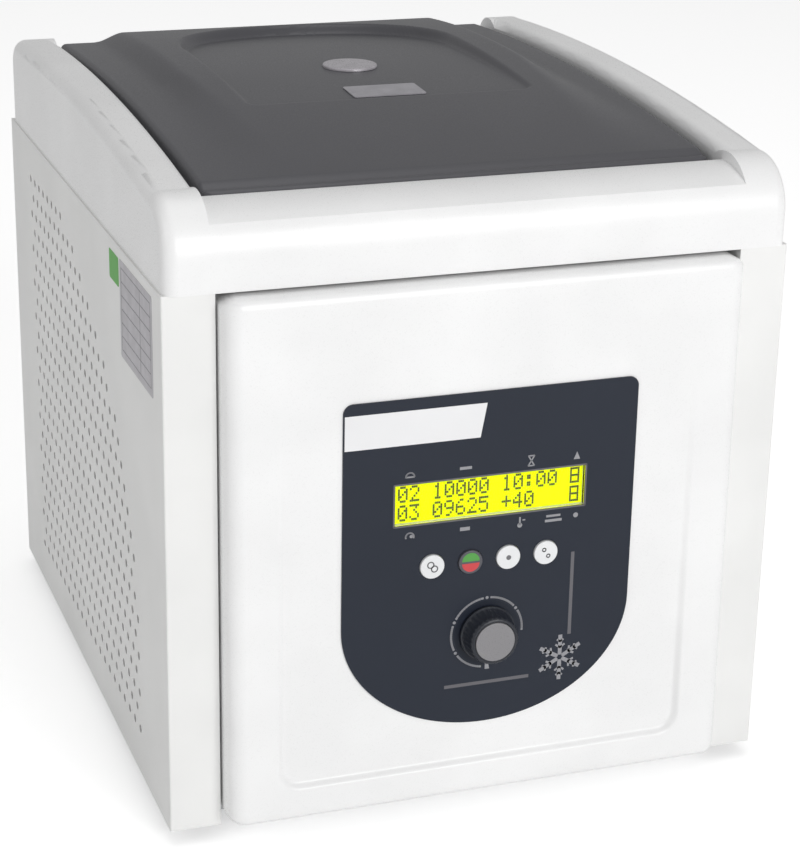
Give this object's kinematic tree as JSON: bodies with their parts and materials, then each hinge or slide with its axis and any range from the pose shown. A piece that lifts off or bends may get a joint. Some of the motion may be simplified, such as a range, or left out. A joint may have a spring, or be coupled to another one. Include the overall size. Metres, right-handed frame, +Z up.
{
  "type": "refrigerated microcentrifuge",
  "caption": "Bench-top refrigerated centrifuge for micro tubes: white perforated casing, arched grey hinged lid over a cooled rotor chamber, display, keys and dial on the front.",
  "frame": {"origin": "on the bench, under the centre of the overall box", "axes": "+X to the right of someone facing the controls, +Y to the rear, +Z up"},
  "size_m": [0.3202, 0.4102, 0.3441],
  "materials": {
    "casing_paint": "satin powder coat",
    "moulding_white": "fine satin",
    "lid_grey": "satin",
    "liner_grey": "satin",
    "overlay_film": "printed film",
    "lcd_glass": "clear window",
    "lcd_lit": "backlit display",
    "button_white": "satin",
    "button_start_stop": "satin",
    "knob_black": "fine ribbed",
    "cap_grey": "satin",
    "badge_grey": "domed resin",
    "label_grey": "printed foil",
    "zinc_steel": "zinc plated",
    "ground_steel": "ground",
    "stainless": "spun stainless",
    "rotor_aluminium": "anodised",
    "rubber_black": "matte",
    "copper": "drawn tube",
    "dryer_brass": "spun",
    "foam_cream": "cut foam",
    "black_paint": "gloss enamel",
    "fin_aluminium": "bare fins",
    "black_plastic": "moulded",
    "pale_plastic": "moulded",
    "board_green": "solder mask"
  },
  "bodies": {
    "casing": {"base_pan": "zinc_steel", "board_bracket": "zinc_steel", "case_screws": "zinc_steel", "chamber_bowl": "stainless", "chamber_gasket": "rubber_black", "chamber_insulation": "foam_cream", "chassis_plate": "zinc_steel", "compressor": "black_paint", "compressor_mounts": "rubber_black", "condenser": "fin_aluminium", "control_overlay": "overlay_film", "display_board": "board_green", "drain_spigot": "pale_plastic", "drain_tube": "pale_plastic", "encoder_body": "black_plastic", "evaporator_coil": "copper", "fan_shroud": "black_plastic", "feet": "rubber_black", "filter_dryer": "dryer_brass", "front_panel": "moulding_white", "front_subframe": "zinc_steel", "hinge_brackets": "zinc_steel", "hinge_pins": "ground_steel", "latch_housing": "zinc_steel", "latch_solenoid": "black_paint", "lcd_module": "lcd_lit", "lcd_window": "lcd_glass", "left_side_panel": "casing_paint", "main_board": "board_green", "motor_bearings": "ground_steel", "motor_housing": "black_paint", "motor_mounts": "rubber_black", "power_inlet": "black_plastic", "power_supply": "zinc_steel", "rear_panel": "casing_paint", "refrigerant_lines": "copper", "right_side_panel": "casing_paint", "side_labels": "label_grey", "top_cover": "moulding_white"},
    "lid": {"lid_shell": "lid_grey", "lid_liner": "liner_grey", "lid_seal": "rubber_black", "lid_striker": "zinc_steel", "lid_badge": "badge_grey", "lid_plate": "badge_grey", "hinge_leaves": "zinc_steel"},
    "rotor": {"drive_shaft": "ground_steel", "motor_armature": "ground_steel", "rotor_body": "rotor_aluminium"},
    "clamp_nut": {"rotor_nut": "rotor_aluminium"},
    "fan": {"fan_blades": "black_plastic"},
    "speed_knob": {"knob": "knob_black", "knob_cap": "cap_grey"},
    "key_1": {"button_1": "button_white"},
    "key_2": {"button_2": "button_start_stop"},
    "key_3": {"button_3": "button_white"},
    "key_4": {"button_4": "button_white"},
    "mains_switch": {"mains_rocker": "black_plastic"},
    "lock_bolt": {"latch_bolt": "ground_steel"}
  },
  "joints": [
    {"name": "lid_hinge", "type": "hinge", "parent": "casing", "child": "lid", "pos_m": [0, 0.1771, 0.32], "axis": [-1, 0, 0], "range_deg": [0, 75]},
    {"name": "rotor_spin", "type": "hinge", "parent": "casing", "child": "rotor", "pos_m": [0, 0.0061, 0.24], "axis": [0, 0, 1], "continuous": true},
    {"name": "nut_turn", "type": "hinge", "parent": "rotor", "child": "clamp_nut", "pos_m": [0, 0.0061, 0.244], "axis": [0, 0, 1], "continuous": true},
    {"name": "fan_spin", "type": "hinge", "parent": "casing", "child": "fan", "pos_m": [-0.1167, -0.0139, 0.08], "axis": [1, 0, 0], "continuous": true},
    {"name": "knob_turn", "type": "hinge", "parent": "casing", "child": "speed_knob", "pos_m": [0, -0.1925, 0.1015], "axis": [0, 1, 0], "continuous": true},
    {"name": "mains_switch_tilt", "type": "hinge", "parent": "casing", "child": "mains_switch", "pos_m": [-0.095, 0.1896, 0.0915], "axis": [-1, 0, 0], "range_deg": [0, 14]},
    {"name": "button_1_press", "type": "slide", "parent": "casing", "child": "key_1", "axis": [0, 1, 0], "range_m": [0, 0.0006], "stiffness_N_per_m": 400},
    {"name": "button_2_press", "type": "slide", "parent": "casing", "child": "key_2", "axis": [0, 1, 0], "range_m": [0, 0.0006], "stiffness_N_per_m": 400},
    {"name": "button_3_press", "type": "slide", "parent": "casing", "child": "key_3", "axis": [0, 1, 0], "range_m": [0, 0.0006], "stiffness_N_per_m": 400},
    {"name": "button_4_press", "type": "slide", "parent": "casing", "child": "key_4", "axis": [0, 1, 0], "range_m": [0, 0.0006], "stiffness_N_per_m": 400},
    {"name": "lock_slide", "type": "slide", "parent": "casing", "child": "lock_bolt", "axis": [-1, 0, 0], "range_m": [0, 0.008]}
  ]
}
